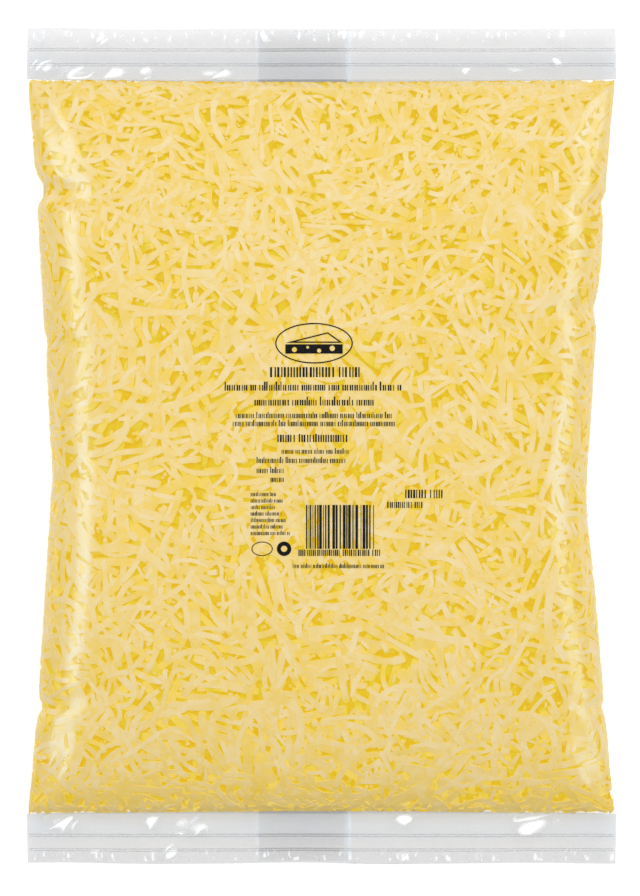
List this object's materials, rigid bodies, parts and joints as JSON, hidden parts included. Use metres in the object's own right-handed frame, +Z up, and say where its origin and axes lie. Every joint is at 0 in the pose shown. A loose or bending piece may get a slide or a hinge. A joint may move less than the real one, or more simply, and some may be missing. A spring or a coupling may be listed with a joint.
{
  "type": "bag of grated cheese",
  "caption": "Clear pillow bag packed full of grated cheese, with flat heat-sealed bands across both ends and a folded seam down its back.",
  "frame": {"origin": "middle of the bag's outline on the surface that it lies on", "axes": "+Y along the bag towards its top end, +X to the right of the printed face, +Z up out of the printed face"},
  "size_m": [0.285, 0.405, 0.0464],
  "materials": {
    "cheese": "satin",
    "film": "gloss",
    "print": "satin"
  },
  "bodies": {
    "root": {"bag_of_grated_cheese": "cheese"}
  },
  "joints": []
}
